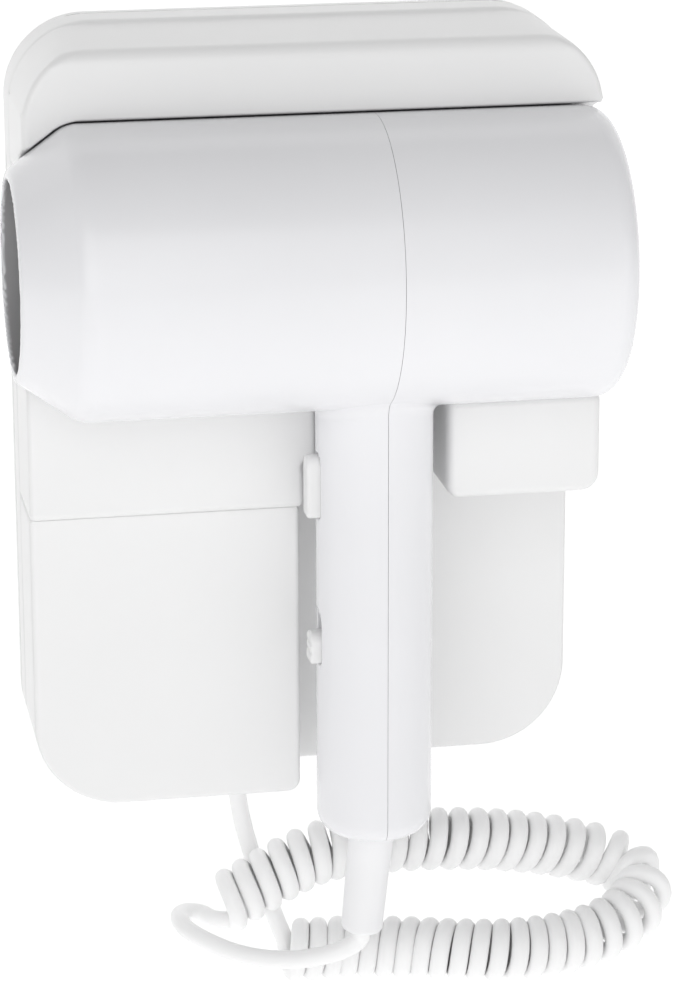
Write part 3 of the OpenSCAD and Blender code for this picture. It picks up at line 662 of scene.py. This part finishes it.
BASE_ROUTE = to_frame([
    (-17, 8, -117), (-16.5, 7.6, -121), (-15.5, 7, -127), (-13.9, 6.8, -134), (-12, 7.6, -141),
    (-9.9, 9.8, -148), (-7.6, 13, -154.5), (-5.2, 16.5, -162.8)])
COIL_ROUTE = to_frame([
    (-5, 23, -163), (3, 23.6, -163), (11, 24, -163), (28, 27.5, -163), (43, 32, -163), (56, 34.6, -163),
    (68, 34.6, -162.8), (79, 33.4, -161.9), (88, 31.4, -160), (94.7, 28.4, -157.6), (99.2, 24, -155),
    (100.6, 18.6, -152.1), (98, 14, -149.1), (91.6, 11.6, -146), (82.6, 12, -143), (72, 13.2, -139.9),
    (60, 14.6, -137.2), (44.8, 16, -135), (27, 16, -134.4), (9, 17, -135.2), (-2, 18, -138.3),
    (-10, 19, -141.9), (-17, 19.8, -145.4), (-22.4, 20.4, -148)])
HANDSET_ROUTE = to_frame([
    (-22.4, 20.4, -154.6), (-25, 15.8, -154.8), (-28.4, 12.2, -154.2), (-32.4, 12.8, -153.2),
    (-35, 17, -152), (-36, 22.4, -150.8), (-36.2, 28.4, -149.8), (-35, 33, -150), (-32, 37.2, -150.8),
    (-28, 40.6, -152), (-22.8, 44, -153.2), (-16, 47.6, -153.8), (-9, 50.8, -153.4), (-2.4, 53.4, -152),
    (3.6, 55, -150.2), (8, 55.5, -148.2),
    (10, 55.5, -146.6), (10.5, 55.5, -144.7), (11.2, 55.5, -138)])

STEPS_PER_TURN = 20
WIRE_R = COIL_R - CORD_R
BEND_AXIS = np.array([0.0, -0.53, 0.85])
FIRST_PHASE, LAST_PHASE = math.radians(-122), math.radians(-148)


def pitch_at(share):
    """Distance between turns: close along the floor, wide round the bend, open along the top."""
    return np.interp(share, [0, 0.34, 0.4, 0.5, 0.56, 0.62, 1], [5.3, 5.4, 6.6, 7.2, 6.6, 5.9, 5.75])


def helix_line():
    """Centreline of the wire through every turn. It starts at the back, going down, and ends at
    the bottom of the last turn, going towards the wall."""
    axis = smooth_route(COIL_ROUTE, 12)
    total = lengths(axis)[-1]
    s = np.linspace(0, total, 4001)
    turns = np.concatenate([[0], np.cumsum(np.diff(s) / pitch_at(s[:-1] / total))])
    part = (FIRST_PHASE - LAST_PHASE) / (2 * np.pi)
    want = round(turns[-1] - part) + part
    turns *= want / turns[-1]
    spots = np.interp(np.linspace(0, want, int(want * STEPS_PER_TURN)), turns, s)
    phase = FIRST_PHASE - 2 * np.pi * np.interp(spots, s, turns)
    points = []
    for where, angle in zip(spots, phase):
        way = at(axis, min(where + 0.5, total)) - at(axis, max(where - 0.5, 0))
        way /= np.linalg.norm(way)
        side = BEND_AXIS - way * BEND_AXIS.dot(way)
        side /= np.linalg.norm(side)
        spoke = math.cos(angle) * side + math.sin(angle) * np.cross(way, side)
        points.append(at(axis, where) + WIRE_R * spoke)
    return np.array(points)


def curve_cord(name, line, body, nodes):
    curve = bpy.data.curves.new(name, "CURVE")
    curve.dimensions, curve.bevel_depth, curve.bevel_resolution = "3D", CORD_R * MM, 5
    curve.use_fill_caps = True
    spline = curve.splines.new("POLY")
    spline.points.add(len(line) - 1)
    spline.points.foreach_set("co", np.hstack([line * MM, np.ones((len(line), 1))]).ravel())
    spline.use_smooth = True
    obj = bpy.data.objects.new(name, curve)
    bpy.context.scene.collection.objects.link(obj)
    finish_piece(obj, body, "cord", nodes)
    return obj


def tube(name, line, radius, sides=20):
    """A mesh tube along a line, closed at both ends."""
    n = len(line)
    side, rings = np.array([0.0, 0.0, 1.0]), []
    for i in range(n):
        way = line[min(i + 1, n - 1)] - line[max(i - 1, 0)]
        way /= np.linalg.norm(way)
        side = side - way * side.dot(way)
        side /= np.linalg.norm(side)
        up = np.cross(way, side)
        angle = 2 * np.pi * np.arange(sides) / sides
        rings.append(line[i] + radius * (np.cos(angle)[:, None] * side + np.sin(angle)[:, None] * up))
    points = np.vstack(rings + [line[:1], line[-1:]])
    walls = []
    for i in range(n - 1):
        for k in range(sides):
            here, there, turn = i * sides, (i + 1) * sides, (k + 1) % sides
            walls.append((here + k, here + turn, there + turn, there + k))
    mesh = bpy.data.meshes.new(name)
    last = (n - 1) * sides
    caps = [(n * sides, (k + 1) % sides, k) for k in range(sides)]
    caps += [(n * sides + 1, last + k, last + (k + 1) % sides) for k in range(sides)]
    mesh.from_pydata([tuple(p) for p in points * MM], [], walls + caps)
    mesh.update()
    mesh.shade_smooth()
    obj = bpy.data.objects.new(name, mesh)
    bpy.context.scene.collection.objects.link(obj)
    return obj


def add_cords():
    helix = helix_line()
    line = np.vstack([smooth_route(BASE_ROUTE[:-1] + [tuple(helix[0])], 4)[:-1], helix])
    tail = smooth_route([tuple(helix[-1])] + HANDSET_ROUTE[1:], 6)
    curly = curve_cord("curly_cord", line, "holder", ["base_lead", "coil_cord"])
    lead = tube("handset_cord", tail, CORD_R)
    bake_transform(lead)
    dress(lead, "cord")
    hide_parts("handset_lead")


# ---------- the object ----------


def add_shells():
    points, faces = surface(handset_shells, (NOZZLE_X, BARREL_D - BARREL_R, HANDLE_Z),
                            (TAIL_X, BARREL_D + BARREL_R, BARREL_Z + BARREL_R), 1.0)
    whole = mesh_object("shells", points, faces)
    for name, cut_x, keep, node in (("nozzle_half", SPLIT_X - SEAM, -1, "nozzle_shell"),
                                    ("inlet_half", SPLIT_X + SEAM, 1, "inlet_shell")):
        half(name, whole.data, handset_shells, cut_x, keep, "handset", "handset", [node])
    bpy.data.objects.remove(whole)


def add_holder():
    w, h = BASE_W / 2, BASE_H / 2
    gland_low, gland_high = (GLAND_X - 6, GLAND_D - 6, -h - 10), (GLAND_X + 6, GLAND_D + 6, -h + 4)
    pieces = [
        ("cover", front_cover, (-w, PLATE_T, -h), (w, HOOD_D, h), 1.0, "housing", "front_cover"),
        ("box", switch_box, (-w, PANEL_D, -h), (BOX_RIGHT, BOX_D, BOX_TOP), 1.0, "housing", "switch_box"),
        ("left_block", left_cradle, (-w, PANEL_D, BOX_TOP), (0, LEFT_D, LEFT_TOP), 0.8, "housing",
         "left_cradle"),
        ("right_block", right_cradle, (RIGHT_X, PANEL_D, RIGHT_Z[0]), (w, RIGHT_D, RIGHT_Z[1]), 0.8,
         "housing", "right_cradle"),
        ("gland", gland_form, gland_low, gland_high, 0.5, "cord", "cord_gland"),
        ("cover_screw_heads", cover_screw_heads, (-52, 5, -h - 1.5), (52, 12, -h + 12), 0.4, "steel",
         "cover_screws"),
    ]
    for name, field, low, high, step, slot, node in pieces:
        solid(name, field, low, high, step, "holder", slot, [node])


def add_small_parts():
    near, far = BARREL_D - 7, BARREL_D + 7
    round_low, round_high = (BARREL_D - 33, BARREL_Z - 33), (BARREL_D + 33, BARREL_Z + 33)
    pieces = [
        ("button_cap", button, (BUTTON_X, near, -27), (FACE_X + 6, far, 0), 0.4, "button", "button",
         "press_button"),
        ("knob_cap", knob, (KNOB_X, near, -71), (FACE_X + 6, far, -46), 0.35, "knob", "button", "slide_knob"),
        ("sleeve", relief_form, (4, BARREL_D - 9, -146), (23, BARREL_D + 9, -104), 0.6, "handset", "sleeve",
         "strain_relief"),
        ("inlet_guard", inlet_guard, (TAIL_X - 4, *round_low), (TAIL_X, *round_high), 0.6, "handset",
         "handset", "inlet_grille"),
        ("outlet_guard", outlet_guard, (-75, *round_low), (-70, *round_high), 0.5, "handset", "black_plastic",
         "outlet_grille"),
    ]
    for name, field, low, high, step, body, slot, node in pieces:
        solid(name, field, low, high, step, body, slot, [node])


dress_frame()
add_camera()
add_stage()
add_light("key", (-0.5, -2.0, 0.8), (0, 0, 0), 1.8, 14)
add_light("fill", (1.5, -1.7, -0.02), (0, 0, 0), 1.6, 4.5)
add_world()

add_cords()
add_holder()
add_shells()
add_small_parts()
